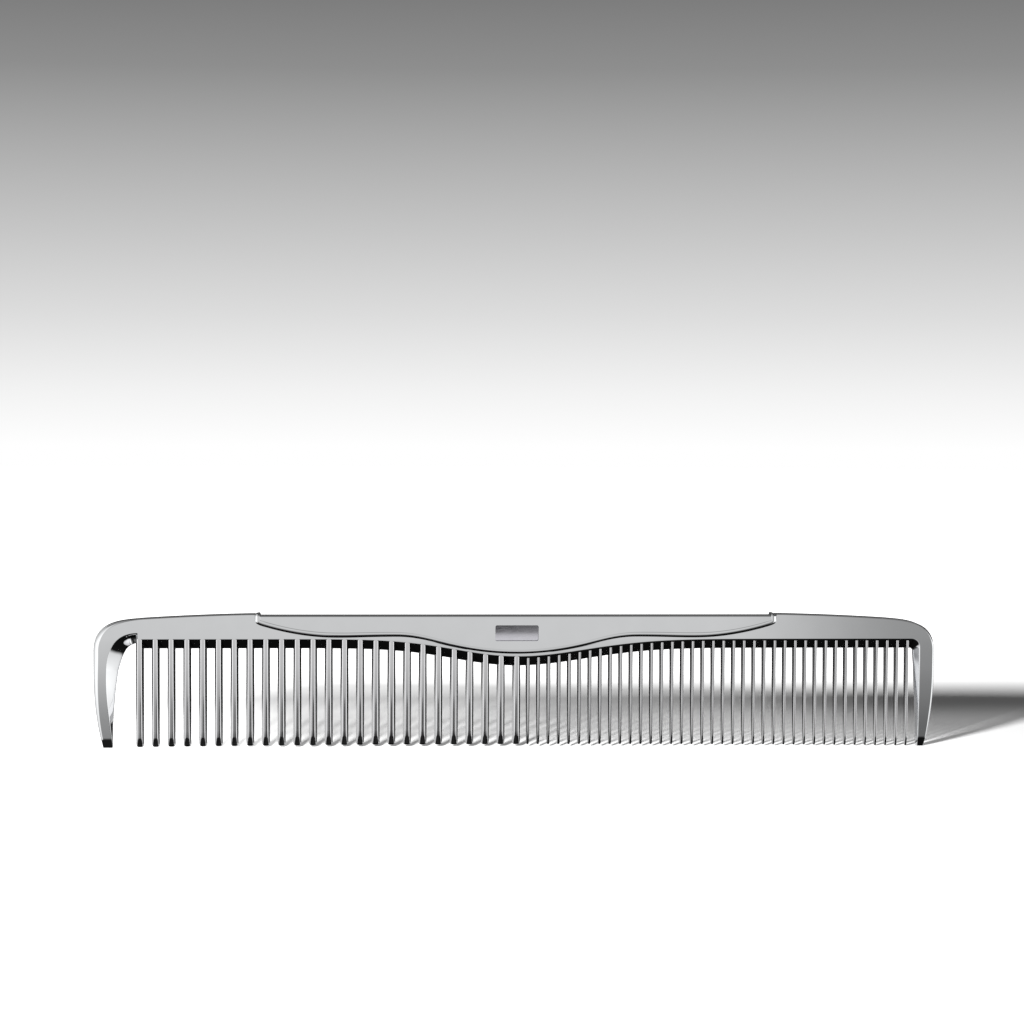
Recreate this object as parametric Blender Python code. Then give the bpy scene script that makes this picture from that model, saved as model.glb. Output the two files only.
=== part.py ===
"""Steel grooming comb: a bar with two end guards, a wrap-over saddle with a small
blank plate in its window, 25 coarse teeth and 38 fine teeth set in sockets.

Metres, +Z up. The comb stands on its guards. X runs along the bar with the coarse
teeth at -X, the front faces -Y, and the origin is the bottom centre.
"""
import math

import bmesh
import bpy
from mathutils import Matrix, Vector
from mathutils.geometry import interpolate_bezier

MM = 0.001

# Bar and guards
HALF_LENGTH = 95.0 * MM
HALF_DEPTH = 2.25 * MM          # the bar is 4.5 mm thick
TOP_Z = 30.18 * MM              # top of the bar beside the saddle
CROWN_START_X = 60.0 * MM       # the top edge is level up to here, then falls away
CROWN_SLOPE = 0.02
CROWN_CURVE = 0.9               # fall per metre squared
SHOULDER_X = 84.0 * MM
EDGE_TOP = 0.15 * MM            # chamfer along the top edge
EDGE_GUARD = 0.7 * MM           # wider chamfer down the guards' outer sides
ROOT_Z = 24.55 * MM             # lower edge of the bar's front face
BELLY_DROP = 3.95 * MM          # how far that edge dips at the middle
BELLY_WIDTHS = (19.4 * MM, 21.8 * MM)     # towards the coarse and the fine end
KEEL_DROP = 2.5 * MM           # the V-shaped underside below it
TIP_HALF_DEPTH = 1.0 * MM       # half the thickness just above the tips
TIP_LAND = 0.45 * MM            # half the thickness of the foot itself
TIP_HEIGHT = 1.9 * MM           # height of the bevel at each tip
TAPER_POWER = 1.5
LARGEST_CHAMFER = 0.6           # share of half the thickness that an edge may take

# Guards: curves in millimetres (distance from the middle, height), from the foot up.
# The outer side is shared. The coarse guard has a deeper inner bevel, and the gap
# beside it is arched higher than the others.
GUARD_LEVELS = (0.0, 1.9, 4.5, 8.0, 11.5, 15.0, 17.5)
OUTER_SIDE = ((92.9, 0.0), (94.6, 6.0), (95.0, 12.0), (95.0, 17.5))
SHOULDER = ((95.0, 17.5), (95.0, 18.8), (95.0, 20.2), (95.0, 21.5),
            (95.1, 28.6), (89.5, 28.7), (84.0, 29.18))
COARSE_FACE = ((90.75, 0.0), (91.0, 5.0), (92.35, 11.0), (92.05, 17.5))
COARSE_RIDGE = ((90.85, 0.0), (90.6, 6.0), (90.1, 12.0), (89.1, 17.5))
COARSE_FACE_CORNER = ((92.05, 17.5), (92.0, 22.0), (90.2, 25.95), (85.07, 25.95))
COARSE_RIDGE_CORNER = ((89.1, 17.5), (88.4, 19.8), (87.6, 23.45), (85.07, 23.45))
FINE_FACE = ((91.6, 0.0), (91.6, 6.0), (91.6, 12.0), (91.6, 17.5))
FINE_RIDGE = ((91.1, 0.0), (91.0, 6.0), (90.65, 12.0), (90.4, 17.5))
FINE_FACE_CORNER = ((91.6, 17.5), (91.6, 19.2), (91.6, 20.9), (91.6, 22.6),
                    (91.6, 23.7), (90.8, 24.55), (89.7, 24.55),
                    (89.0, 24.55), (88.2, 24.55), (87.5, 24.55))
FINE_RIDGE_CORNER = ((90.4, 17.5), (90.3, 18.8), (90.15, 20.2), (90.1, 21.5),
                     (90.05, 21.9), (89.9, 22.05), (89.5, 22.05),
                     (88.7, 22.05), (87.8, 22.05), (87.0, 22.05))
ARCH_STEP_X = 85.03 * MM        # the arch ends at the first coarse tooth
ARCH_STEP_RUN = 0.05 * MM       # and steps down within this length
SIDE_STEPS = 16                 # curve steps along a guard's sides
SHOULDER_STEPS = 9              # and round its shoulder

# Teeth
COARSE_COUNT = 25
COARSE_FIRST_X = -84.65 * MM
COARSE_PITCH = 84.65 * MM / 24
COARSE_FRONT = 0.50 * MM        # half widths at the front face and at the middle
COARSE_MIDDLE = 0.92 * MM
FINE_COUNT = 38
FINE_FIRST_X = 2.6 * MM
FINE_PITCH = 2.333 * MM
FINE_FRONT = 0.25 * MM
FINE_MIDDLE = 0.55 * MM
FINE_TIP_SCALE = 0.58           # a fine tooth narrows to this at its tip
FINE_SET_BACK = 0.35 * MM
FINE_SHOULDER_DROP = 0.02 * MM  # a fine tooth's shoulder is this far below its bridge's
TOOTH_ARCH = 0.45 * MM          # the tips rise this far above the floor at the middle
TOOTH_ARCH_X = 88.0 * MM
TOOTH_FLOOR_GAP = 0.1 * MM
TOOTH_LEVELS = (9.0 * MM, 16.0 * MM)    # where a tooth's thickness is set along its length
TIP_POINT_HEIGHT = 0.3 * MM     # the last bit of a tip, narrowed to this share
TIP_POINT_SCALE = 0.6
SOCKET_REACH = 0.5 * MM         # a socket is cut this far past the bar's faces
TENON_HEIGHT = 1.8 * MM
TENON_HALF_DEPTH = 1.1 * MM
TENON_HALF_WIDTH = 0.45 * MM
FIT_GAP = 0.05 * MM

# Saddle and plate
# Its lower edge from the middle to one end, and up that end, in millimetres.
SADDLE_EDGE = ((0.0, 21.35), (5.0, 21.35), (9.5, 21.9), (14.0, 22.85),
               (18.0, 23.65), (22.0, 25.15), (27.0, 25.15),
               (34.0, 25.15), (38.0, 24.8), (43.0, 25.0),
               (49.0, 25.3), (54.3, 26.65), (57.4, 27.6),
               (58.5, 28.0), (58.8, 28.2), (58.8, 28.9))
SADDLE_END_X = 58.8 * MM
SADDLE_TOP_Z = 29.85 * MM
SADDLE_WALL = 0.55 * MM
BEAD_RADIUS = 0.4 * MM
BEAD_CREST_Z = 30.05 * MM       # the bead's centre line where it crosses the top
WINDOW_SIZE = (9.7 * MM, 3.6 * MM)
WINDOW_Z = 25.93 * MM
WINDOW_CORNER = 0.4 * MM
PLATE_MARGIN = 0.5 * MM
PLATE_THICKNESS = 0.5 * MM
PLATE_GAP = 0.1 * MM

SECTION_STEP = 3.4 * MM


def clear_scene():
    for obj in list(bpy.data.objects):
        bpy.data.objects.remove(obj, do_unlink=True)


def new_collection(name):
    collection = bpy.data.collections.new(name)
    bpy.context.scene.collection.children.link(collection)
    return collection


def make_metal(name, colour, roughness):
    material = bpy.data.materials.new(name)
    material.use_nodes = True
    shader = material.node_tree.nodes["Principled BSDF"]
    shader.inputs["Base Color"].default_value = (*colour, 1.0)
    shader.inputs["Metallic"].default_value = 1.0
    shader.inputs["Roughness"].default_value = roughness
    return material


def add_object(name, bm, collection, material=None):
    bmesh.ops.recalc_face_normals(bm, faces=bm.faces)
    mesh = bpy.data.meshes.new(name)
    bm.to_mesh(mesh)
    bm.free()
    obj = bpy.data.objects.new(name, mesh)
    collection.objects.link(obj)
    if material:
        mesh.materials.append(material)
        mesh.shade_smooth()
        mesh.set_sharp_from_angle(angle=math.radians(30))
    else:
        obj.hide_render = True
        obj.display_type = "WIRE"
    return obj


def add_boolean(obj, cutter, operation="DIFFERENCE"):
    modifier = obj.modifiers.new(operation.title(), "BOOLEAN")
    modifier.operation = operation
    modifier.solver = "EXACT"
    modifier.object = cutter


def bezier(points, count):
    """Points along a chain of cubic curves: knot, handle, handle, knot, ..."""
    vectors = [Vector((x, z, 0.0)) * MM for x, z in points]
    result = [vectors[0]]
    for start in range(0, len(vectors) - 1, 3):
        knot, handle, next_handle, next_knot = vectors[start:start + 4]
        result += interpolate_bezier(knot, handle, next_handle, next_knot, count)[1:]
    return [(point.x, point.y) for point in result]


def loft(bm, rings):
    """Skin closed rings of equal length and cap both ends."""
    loops = [[bm.verts.new(co) for co in ring] for ring in rings]
    for lower, upper in zip(loops, loops[1:]):
        for i in range(len(lower)):
            j = (i + 1) % len(lower)
            bm.faces.new((lower[i], lower[j], upper[j], upper[i]))
    bm.faces.new(loops[0])
    bm.faces.new(loops[-1])


# ---------------------------------------------------------------- profile of the comb

def root_edge(x):
    """Height of the lower edge of the bar's front face."""
    width = BELLY_WIDTHS[0] if x < 0 else BELLY_WIDTHS[1]
    return ROOT_Z - BELLY_DROP * math.exp(-(x / width) ** 2)


def top_edge(x):
    past = max(0.0, abs(x) - CROWN_START_X)
    return TOP_Z - CROWN_SLOPE * past - CROWN_CURVE * past * past


def half_depth(z):
    """Half the thickness at a height: full in the bar, thinner towards the tips."""
    if z < TIP_HEIGHT:
        return TIP_LAND + (TIP_HALF_DEPTH - TIP_LAND) * max(z, 0.0) / TIP_HEIGHT
    fall = max(0.0, (ROOT_Z - z) / (ROOT_Z - TIP_HEIGHT))
    return HALF_DEPTH - (HALF_DEPTH - TIP_HALF_DEPTH) * fall ** TAPER_POWER


def frame_section(outer, inward, face, ridge, chamfer):
    """One cross-section of the bar or a guard, through its outer and inner edges."""
    outer_depth = half_depth(outer[1])
    face_depth = half_depth(face[1])
    chamfer = min(chamfer, outer_depth * LARGEST_CHAMFER)
    rim = (outer[0] + inward[0] * chamfer, outer[1] + inward[1] * chamfer)
    return [
        (rim[0], -outer_depth, rim[1]),
        (outer[0], chamfer - outer_depth, outer[1]),
        (outer[0], outer_depth - chamfer, outer[1]),
        (rim[0], outer_depth, rim[1]),
        (face[0], face_depth, face[1]),
        (ridge[0], 0.0, ridge[1]),
        (face[0], -face_depth, face[1]),
    ]


def at_height(points, z):
    """Distance from the middle where a rising line of points reaches a height."""
    for (x0, z0), (x1, z1) in zip(points, points[1:]):
        if z <= z1 + 1e-9:
            return x0 + (x1 - x0) * (z - z0) / (z1 - z0)
    return points[-1][0]


def guard_sections(face_side, ridge_side, face_corner, ridge_corner):
    """From a guard's foot up round the shoulder, on the +X side."""
    sections = []
    outer = bezier(OUTER_SIDE, SIDE_STEPS)
    face = bezier(face_side, SIDE_STEPS)
    ridge = bezier(ridge_side, SIDE_STEPS)
    for level in GUARD_LEVELS:
        z = level * MM
        sections.append(frame_section((at_height(outer, z), z), (-1.0, 0.0),
                                      (at_height(face, z), z), (at_height(ridge, z), z),
                                      EDGE_GUARD))
    upright = bezier(SHOULDER[:4], 3)
    shoulder = upright + bezier(SHOULDER[3:], SHOULDER_STEPS)[1:]
    steps = len(shoulder)
    face = bezier(face_corner, steps)
    ridge = bezier(ridge_corner, steps)
    for i in range(1, steps):
        turned = max(0.0, (i - len(upright) + 1) / (steps - len(upright)))
        turn = turned * math.pi / 2
        chamfer = EDGE_GUARD + (EDGE_TOP - EDGE_GUARD) * turned
        sections.append(frame_section(shoulder[i], (-math.cos(turn), -math.sin(turn)),
                                      face[i], ridge[i], chamfer))
    return sections


def bar_section(x, edge_x):
    edge = root_edge(edge_x)
    return frame_section((x, top_edge(x)), (0.0, -1.0), (edge_x, edge),
                         (edge_x, edge - KEEL_DROP), EDGE_TOP)


def build_frame(collection, material):
    """The bar with its two guards, lofted from one foot to the other."""
    coarse = guard_sections(COARSE_FACE, COARSE_RIDGE, COARSE_FACE_CORNER, COARSE_RIDGE_CORNER)
    fine = guard_sections(FINE_FACE, FINE_RIDGE, FINE_FACE_CORNER, FINE_RIDGE_CORNER)
    sections = [[(-x, y, z) for x, y, z in section] for section in coarse]
    sections.append(bar_section(ARCH_STEP_RUN - SHOULDER_X, -ARCH_STEP_X))
    steps = round(2 * SHOULDER_X / SECTION_STEP)
    for i in range(1, steps):
        x = -SHOULDER_X + 2 * SHOULDER_X * i / steps
        sections.append(bar_section(x, x))
    sections += reversed(fine)
    bm = bmesh.new()
    loft(bm, sections)
    bmesh.ops.triangulate(bm, faces=[f for f in bm.faces if len(f.verts) == 4])
    return add_object("spine_frame", bm, collection, material)


# ---------------------------------------------------------------- teeth

def tooth_rings(x, front, middle, tip_scale, set_back, drop, grow):
    """Six-sided rings from a tooth's tip to its shoulder against the bar."""
    foot = TOOTH_FLOOR_GAP + TOOTH_ARCH * max(0.0, 1.0 - (x / TOOTH_ARCH_X) ** 2)
    top = root_edge(x)
    levels = [foot, foot + TIP_POINT_HEIGHT, foot + TIP_HEIGHT, *TOOTH_LEVELS, top]
    rings = []
    for i, z in enumerate(levels):
        up = (z - foot) / (top - foot)
        width = tip_scale + (1.0 - tip_scale) * up
        if i == 0:
            width *= TIP_POINT_SCALE
        depth = half_depth(z - foot if z < foot + TIP_HEIGHT else z) - set_back * up + grow
        flat = front * width + grow
        belly = middle * width + grow
        outline = [(-flat, -depth), (flat, -depth), (belly, 0.0),
                   (flat, depth), (-flat, depth), (-belly, 0.0)]
        ring = [(x + dx, dy, z) for dx, dy in outline]
        if i == len(levels) - 1:
            ring = [(px, py, root_edge(px) - drop + grow) for px, py, pz in ring]
        if i == 0:
            ring = [(px, py, pz - grow) for px, py, pz in ring]
        rings.append(ring)
    return rings


def tenon_rings(x, grow):
    """The peg above a single tooth's shoulder."""
    base = root_edge(x)
    half_width = TENON_HALF_WIDTH + grow
    half_y = TENON_HALF_DEPTH + grow
    outline = [(-half_width, -half_y), (half_width, -half_y), (half_width, 0.0),
               (half_width, half_y), (-half_width, half_y), (-half_width, 0.0)]
    bottom = [(x + dx, dy, root_edge(x + dx) + grow) for dx, dy in outline]
    top = [(x + dx, dy, base + TENON_HEIGHT + grow) for dx, dy in outline]
    return [bottom, top]


def build_coarse_tooth(bm, x, grow=0.0):
    rings = tooth_rings(x, COARSE_FRONT, COARSE_MIDDLE, 1.0, 0.0, 0.0, grow)
    loft(bm, rings + tenon_rings(x, grow))


def build_bridge(bm, left, right, grow=0.0):
    """The keel-shaped web and tenon that join the two teeth of a fine pair."""
    rings = []
    for x in (left, right):
        edge = root_edge(x)
        reach = HALF_DEPTH if grow == 0.0 else HALF_DEPTH + SOCKET_REACH
        keel = edge - KEEL_DROP * reach / HALF_DEPTH
        shelf = edge + grow
        half_y = TENON_HALF_DEPTH + grow
        peg = edge + TENON_HEIGHT + grow
        outline = [(-reach, shelf), (0.0, keel), (reach, shelf), (half_y, shelf),
                   (half_y, peg), (-half_y, peg), (-half_y, shelf)]
        rings.append([(x, y, z) for y, z in outline])
    loft(bm, rings)


def build_fine_pair(name, left, right, collection, helpers, material=None):
    """Two fine teeth and their bridge as one solid; without a material, their socket."""
    grow = 0.0 if material else FIT_GAP
    teeth = bmesh.new()
    for x in (left, right):
        loft(teeth, tooth_rings(x, FINE_FRONT, FINE_MIDDLE, FINE_TIP_SCALE, FINE_SET_BACK,
                                FINE_SHOULDER_DROP, grow))
    bridge = bmesh.new()
    build_bridge(bridge, left, right, grow)
    bridge_object = add_object(name + "_bridge", bridge, helpers)
    pair = add_object(name, teeth, collection, material)
    add_boolean(pair, bridge_object, "UNION")
    return pair


# ---------------------------------------------------------------- saddle and plate

def saddle_lower_edge():
    """The saddle's lower edge from the middle to its +X end, and up that end."""
    return bezier(SADDLE_EDGE, 6)


def inset_path(points, distance):
    """The lower edge moved inwards (positive) or outwards along its normals."""
    moved = []
    for i, (x, z) in enumerate(points):
        before = points[max(i - 1, 0)]
        after = points[min(i + 1, len(points) - 1)]
        along = Vector((after[0] - before[0], after[1] - before[1])).normalized()
        moved.append((x - along.y * distance, z + along.x * distance))
    moved[0] = (0.0, moved[0][1])
    return moved


def saddle_outline(inset, top):
    half = inset_path(saddle_lower_edge(), inset)
    right = half + [(SADDLE_END_X - inset, top)]
    left = [(-x, z) for x, z in reversed(right)]
    return left + right[1:]


def add_plate(name, outline, y_from, y_to, collection, material=None):
    """A flat outline in the XZ plane as a solid between two depths."""
    curve = bpy.data.curves.new(name, "CURVE")
    curve.dimensions = "2D"
    curve.fill_mode = "BOTH"
    curve.extrude = (y_to - y_from) / 2
    spline = curve.splines.new("POLY")
    spline.points.add(len(outline) - 1)
    for point, (x, z) in zip(spline.points, outline):
        point.co = (x, z, 0.0, 1.0)
    spline.use_cyclic_u = True
    flat = bpy.data.objects.new(name + "_outline", curve)
    collection.objects.link(flat)
    bpy.context.view_layer.update()
    mesh = bpy.data.meshes.new_from_object(flat.evaluated_get(
        bpy.context.evaluated_depsgraph_get()))
    bpy.data.objects.remove(flat, do_unlink=True)
    mesh.transform(Matrix.Translation((0.0, (y_from + y_to) / 2, 0.0))
                   @ Matrix.Rotation(math.pi / 2, 4, "X"))
    mesh.materials.clear()
    bm = bmesh.new()
    bm.from_mesh(mesh)
    bmesh.ops.remove_doubles(bm, verts=bm.verts, dist=1e-7)
    return add_object(name, bm, collection, material)


def add_block(name, low, high, collection, material=None):
    bm = bmesh.new()
    bmesh.ops.create_cube(bm, size=1.0)
    size = [b - a for a, b in zip(low, high)]
    centre = [(a + b) / 2 for a, b in zip(low, high)]
    bmesh.ops.scale(bm, vec=size, verts=bm.verts)
    bmesh.ops.translate(bm, vec=centre, verts=bm.verts)
    return add_object(name, bm, collection, material)


def saddle_core(name, gap, helpers):
    """The part of the bar that the saddle straddles."""
    half_y = HALF_DEPTH - SADDLE_WALL - gap
    reach = 2 * HALF_LENGTH
    return add_block(name, (-reach, -half_y, 0.0),
                     (reach, half_y, SADDLE_TOP_Z - SADDLE_WALL - gap), helpers)


def bead_path():
    """A closed line down one end, along the lower edge, and back round the rear."""
    lower = inset_path(saddle_lower_edge(), BEAD_RADIUS)
    right = lower + [(SADDLE_END_X - BEAD_RADIUS, BEAD_CREST_Z - BEAD_RADIUS)]
    front = [(-x, z) for x, z in reversed(right)] + right[1:]
    turn = BEAD_RADIUS * (1.0 - math.sqrt(0.5))
    end_x = SADDLE_END_X - BEAD_RADIUS
    path = [(x, -HALF_DEPTH, z) for x, z in front]
    path.append((end_x, turn - HALF_DEPTH, BEAD_CREST_Z - turn))
    path.append((end_x, BEAD_RADIUS - HALF_DEPTH, BEAD_CREST_Z))
    path.append((end_x, HALF_DEPTH - BEAD_RADIUS, BEAD_CREST_Z))
    path.append((end_x, HALF_DEPTH - turn, BEAD_CREST_Z - turn))
    path += [(x, HALF_DEPTH, z) for x, z in reversed(front)]
    path.append((-end_x, HALF_DEPTH - turn, BEAD_CREST_Z - turn))
    path.append((-end_x, HALF_DEPTH - BEAD_RADIUS, BEAD_CREST_Z))
    path.append((-end_x, BEAD_RADIUS - HALF_DEPTH, BEAD_CREST_Z))
    path.append((-end_x, turn - HALF_DEPTH, BEAD_CREST_Z - turn))
    return path


def add_bead(name, path, collection):
    curve = bpy.data.curves.new(name, "CURVE")
    curve.dimensions = "3D"
    curve.bevel_depth = BEAD_RADIUS
    curve.bevel_resolution = 1
    spline = curve.splines.new("POLY")
    spline.points.add(len(path) - 1)
    for point, co in zip(spline.points, path):
        point.co = (*co, 1.0)
    spline.use_cyclic_u = True
    wire = bpy.data.objects.new(name + "_line", curve)
    collection.objects.link(wire)
    bpy.context.view_layer.update()
    mesh = bpy.data.meshes.new_from_object(wire.evaluated_get(
        bpy.context.evaluated_depsgraph_get()))
    bpy.data.objects.remove(wire, do_unlink=True)
    bm = bmesh.new()
    bm.from_mesh(mesh)
    return add_object(name, bm, collection)


def rounded_rectangle(width, height, centre_z, radius, steps=3):
    points = []
    for corner in range(4):
        sx = 1 if corner in (0, 3) else -1
        sz = 1 if corner in (0, 1) else -1
        for i in range(steps + 1):
            angle = math.pi / 2 * (corner + i / steps)
            points.append((sx * (width / 2 - radius) + radius * math.cos(angle),
                           centre_z + sz * (height / 2 - radius) + radius * math.sin(angle)))
    return points


def build_saddle(collection, helpers, material):
    outline = saddle_outline(FIT_GAP, SADDLE_TOP_Z)
    saddle = add_plate("saddle_cover", outline, -HALF_DEPTH, HALF_DEPTH, collection, material)
    add_boolean(saddle, saddle_core("saddle_inside", 0.0, helpers))
    add_boolean(saddle, add_bead("saddle_bead", bead_path(), helpers), "UNION")
    window = rounded_rectangle(*WINDOW_SIZE, WINDOW_Z, WINDOW_CORNER)
    add_boolean(saddle, add_plate("saddle_window", window, -3 * HALF_DEPTH / 2, -MM, helpers))
    return saddle


def build_plate(collection, material):
    """The blank plate behind the window, dished along its length."""
    back = HALF_DEPTH - SADDLE_WALL - PLATE_GAP - PLATE_THICKNESS
    half_x = WINDOW_SIZE[0] / 2 + PLATE_MARGIN
    half_z = WINDOW_SIZE[1] / 2 + PLATE_MARGIN
    dish = PLATE_THICKNESS / 2
    steps = 6
    front = []
    for i in range(steps + 1):
        along = 2 * i / steps - 1
        depth = back + PLATE_THICKNESS - dish * (1 - along * along)
        front.append((-depth, WINDOW_Z + half_z * along))
    outline = front + [(-back, WINDOW_Z + half_z), (-back, WINDOW_Z - half_z)]
    bm = bmesh.new()
    loft(bm, [[(x, y, z) for y, z in outline] for x in (-half_x, half_x)])
    return add_object("name_plate", bm, collection, material)


def cut_frame(frame, helpers):
    """Recess for the saddle, pocket for the plate and a socket for every tooth."""
    recess = add_plate("saddle_recess", saddle_outline(0.0, TOP_Z + MM), -2 * HALF_DEPTH,
                       2 * HALF_DEPTH, helpers)
    add_boolean(recess, saddle_core("saddle_core", FIT_GAP, helpers))
    add_boolean(frame, recess)
    margin = PLATE_MARGIN + FIT_GAP
    half_x = WINDOW_SIZE[0] / 2 + margin
    half_z = WINDOW_SIZE[1] / 2 + margin
    floor_y = -(HALF_DEPTH - SADDLE_WALL - PLATE_GAP - PLATE_THICKNESS - FIT_GAP)
    add_boolean(frame, add_block("plate_pocket", (-half_x, -2 * HALF_DEPTH, WINDOW_Z - half_z),
                                 (half_x, floor_y, WINDOW_Z + half_z), helpers))
    sockets = bmesh.new()
    for x in coarse_places():
        build_coarse_tooth(sockets, x, FIT_GAP)
    add_boolean(frame, add_object("coarse_sockets", sockets, helpers))
    for number, (left, right) in enumerate(fine_places(), 1):
        name = f"fine_socket_{number:02d}"
        add_boolean(frame, build_fine_pair(name, left, right, helpers, helpers))


def coarse_places():
    return [COARSE_FIRST_X + COARSE_PITCH * i for i in range(COARSE_COUNT)]


def fine_places():
    """The fine teeth, two by two."""
    places = [FINE_FIRST_X + FINE_PITCH * i for i in range(FINE_COUNT)]
    return list(zip(places[0::2], places[1::2]))


def main():
    clear_scene()
    parts = new_collection("grooming_comb")
    helpers = new_collection("cutters")
    steel = make_metal("polished_steel", (0.74, 0.75, 0.77), 0.06)
    tooth_steel = make_metal("tooth_steel", (0.70, 0.70, 0.72), 0.08)
    plate_metal = make_metal("plate_metal", (0.62, 0.62, 0.68), 0.15)
    frame = build_frame(parts, steel)
    cut_frame(frame, helpers)
    build_saddle(parts, helpers, steel)
    build_plate(parts, plate_metal)
    for number, x in enumerate(coarse_places(), 1):
        bm = bmesh.new()
        build_coarse_tooth(bm, x)
        add_object(f"coarse_tooth_{number:02d}", bm, parts, tooth_steel)
    for number, (left, right) in enumerate(fine_places(), 1):
        build_fine_pair(f"fine_tooth_pair_{number:02d}", left, right, parts, helpers, tooth_steel)


main()
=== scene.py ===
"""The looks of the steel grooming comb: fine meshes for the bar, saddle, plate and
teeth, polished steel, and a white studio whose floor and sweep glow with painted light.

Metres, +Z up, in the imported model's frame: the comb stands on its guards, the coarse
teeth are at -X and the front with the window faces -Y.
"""

import math

import bmesh
import bpy
from mathutils import Matrix, Vector
from mathutils.geometry import interpolate_bezier


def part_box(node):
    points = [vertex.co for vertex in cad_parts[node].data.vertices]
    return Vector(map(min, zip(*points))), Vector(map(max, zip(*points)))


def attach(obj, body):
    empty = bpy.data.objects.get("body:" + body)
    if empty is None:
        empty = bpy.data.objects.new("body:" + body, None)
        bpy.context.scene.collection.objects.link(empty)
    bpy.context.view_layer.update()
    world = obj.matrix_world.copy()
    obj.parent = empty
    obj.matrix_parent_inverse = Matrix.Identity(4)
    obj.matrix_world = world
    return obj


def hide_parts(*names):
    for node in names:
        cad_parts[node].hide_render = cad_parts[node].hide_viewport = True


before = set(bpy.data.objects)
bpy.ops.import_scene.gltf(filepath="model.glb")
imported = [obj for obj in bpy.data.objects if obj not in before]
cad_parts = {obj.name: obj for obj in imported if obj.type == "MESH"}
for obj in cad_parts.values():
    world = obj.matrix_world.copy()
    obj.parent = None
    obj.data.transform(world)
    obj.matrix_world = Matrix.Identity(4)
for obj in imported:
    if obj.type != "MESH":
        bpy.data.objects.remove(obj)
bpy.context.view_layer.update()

MM = 0.001

# Bar and guards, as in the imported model
HALF_DEPTH = 2.25 * MM
TOP_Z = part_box("spine_frame")[1].z
CROWN_START_X = 60.0 * MM
CROWN_SLOPE = 0.02
CROWN_CURVE = 0.9
SHOULDER_X = 84.0 * MM
ROOT_Z = 24.55 * MM             # lower edge of the bar's front face
BELLY_DROP = 3.95 * MM          # how far that edge dips at the middle
BELLY_WIDTHS = (19.4 * MM, 21.8 * MM)     # towards the coarse and the fine end
KEEL_DROP = 2.5 * MM            # the V-shaped underside below it
TIP_HALF_DEPTH = 1.0 * MM
TIP_LAND = 0.45 * MM
TIP_HEIGHT = 1.9 * MM
TAPER_POWER = 1.5
GUARD_TOP_Z = 17.5 * MM
OUTER_SIDE = ((92.9, 0.0), (94.6, 6.0), (95.0, 12.0), (95.0, 17.5))
SHOULDER = ((95.0, 17.5), (95.0, 18.8), (95.0, 20.2), (95.0, 21.5),
            (95.1, 28.6), (89.5, 28.7), (84.0, 29.18))
COARSE_FACE = ((90.75, 0.0), (91.0, 5.0), (92.35, 11.0), (92.05, 17.5))
COARSE_RIDGE = ((90.85, 0.0), (90.6, 6.0), (90.1, 12.0), (89.1, 17.5))
COARSE_FACE_CORNER = ((92.05, 17.5), (92.0, 22.0), (90.2, 25.95), (85.07, 25.95))
COARSE_RIDGE_CORNER = ((89.1, 17.5), (88.4, 19.8), (87.6, 23.45), (85.07, 23.45))
FINE_FACE = ((91.6, 0.0), (91.6, 6.0), (91.6, 12.0), (91.6, 17.5))
FINE_RIDGE = ((91.1, 0.0), (91.0, 6.0), (90.65, 12.0), (90.4, 17.5))
FINE_FACE_CORNER = ((91.6, 17.5), (91.6, 19.2), (91.6, 20.9), (91.6, 22.6),
                    (91.6, 23.7), (90.8, 24.55), (89.7, 24.55),
                    (89.0, 24.55), (88.2, 24.55), (87.5, 24.55))
FINE_RIDGE_CORNER = ((90.4, 17.5), (90.3, 18.8), (90.15, 20.2), (90.1, 21.5),
                     (90.05, 21.9), (89.9, 22.05), (89.5, 22.05),
                     (88.7, 22.05), (87.8, 22.05), (87.0, 22.05))
UPRIGHT_SHARE = 0.2             # share of the shoulder's steps below its bend
ARCH_STEP_X = 85.03 * MM
ARCH_STEP_RUN = 0.05 * MM

# Edges of the bar
ROUND_TOP = 0.16 * MM           # radius along the top edge
ROUND_COARSE_GUARD = 1.35 * MM  # and down the guards' outer sides
ROUND_FINE_GUARD = 0.45 * MM
COARSE_FADE = (0.15, 1.0)       # how far round each shoulder the wide rounding fades out
FINE_FADE = (0.3, 1.0)
INNER_EDGE = 0.07 * MM          # softening where the face meets the bevel
KEEL_EDGE = 0.8 * MM            # softening of the underside's ridge
COVE_DEPTH = 0.25 * MM          # half the thickness left under the coarse corner's cove
COVE_START = 0.62               # where the cove begins and is full, as shares of the
COVE_FULL = 0.86                # way round the shoulder
COVE_SHIFT = 0.16               # how far the bevel's bend moves towards the face there
COVE_SHARPNESS = 0.7            # share of the ridge's softening that is lost there
FOOT_ROUNDING = 0.35            # share of a guard's rounding that is left at its foot
FOOT_FADE = 8.0 * MM            # height over which it grows to the whole

# Teeth
COARSE_COUNT = 25
COARSE_FRONT = 0.50 * MM
COARSE_MIDDLE = 0.92 * MM
FINE_COUNT = 38
FINE_FRONT = 0.25 * MM
FINE_MIDDLE = 0.55 * MM
FINE_TIP_SCALE = 0.58
COARSE_EDGE = 0.35              # softening of the front edges, as a share of the front
FINE_EDGE = 0.12
WAIST_EDGE = 0.12 * MM          # softening of a tooth's side edges
FRONT_CROWN = 0.010 * MM        # a tooth's front is very slightly rounded
COARSE_SET_BACK = -0.001 * MM   # how far a tooth's front lies behind the bar's at the root
FINE_SET_BACK = 0.35 * MM
COARSE_REACH = 0.12 * MM        # how far a tooth's full section runs up into the bar
FINE_REACH = 0.5 * MM
TENON_HALF_WIDTH = 0.45 * MM
TENON_HALF_DEPTH = 1.1 * MM
TIP_ROUND = 0.6 * MM            # height of a tip's rounding
TIP_END = 0.35                  # size of the flat left under it, as a share
TIP_SOFTNESS = 0.25             # share of the edges' softening that is left at the tip
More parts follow.
